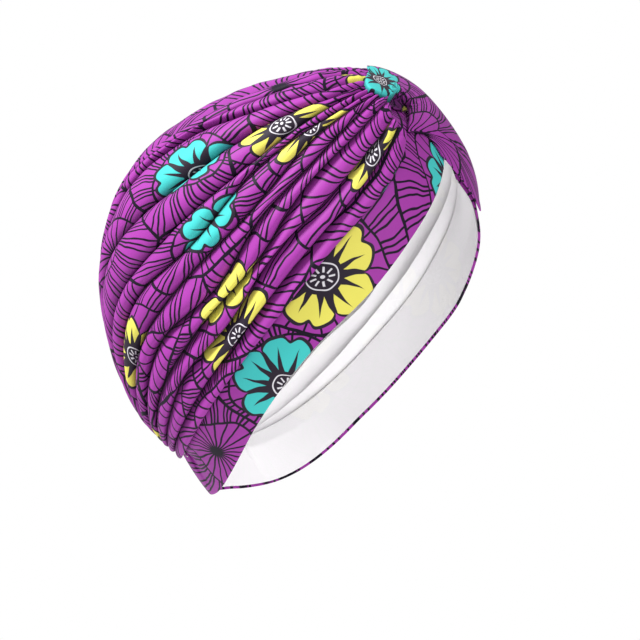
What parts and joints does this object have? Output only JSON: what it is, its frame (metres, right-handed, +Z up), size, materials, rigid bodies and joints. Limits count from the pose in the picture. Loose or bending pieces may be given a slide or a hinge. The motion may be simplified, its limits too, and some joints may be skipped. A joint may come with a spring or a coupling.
{
  "type": "turban cap",
  "caption": "Pleated slip-on turban cap with a plain band round the face, a V front and a wrapped front knot, kept in its worn form.",
  "frame": {"origin": "middle of the head that the cap sits on, inside the hollow", "axes": "+Z up with the cap as worn, the face looks along -Y, the wearer's right is -X"},
  "size_m": [0.1598, 0.1907, 0.217],
  "materials": {
    "crown_cloth": "smooth printed stretch knit, purple ground with dark lines and yellow and turquoise blossoms",
    "band_cloth": "the same printed knit, laid flat and double",
    "knot_cloth": "the same printed knit, wrapped and gathered"
  },
  "bodies": {
    "root": {"crown_pleats": "crown_cloth", "band_right": "band_cloth", "band_left": "band_cloth", "knot_wrap": "knot_cloth", "knot_gather": "knot_cloth"}
  },
  "joints": []
}
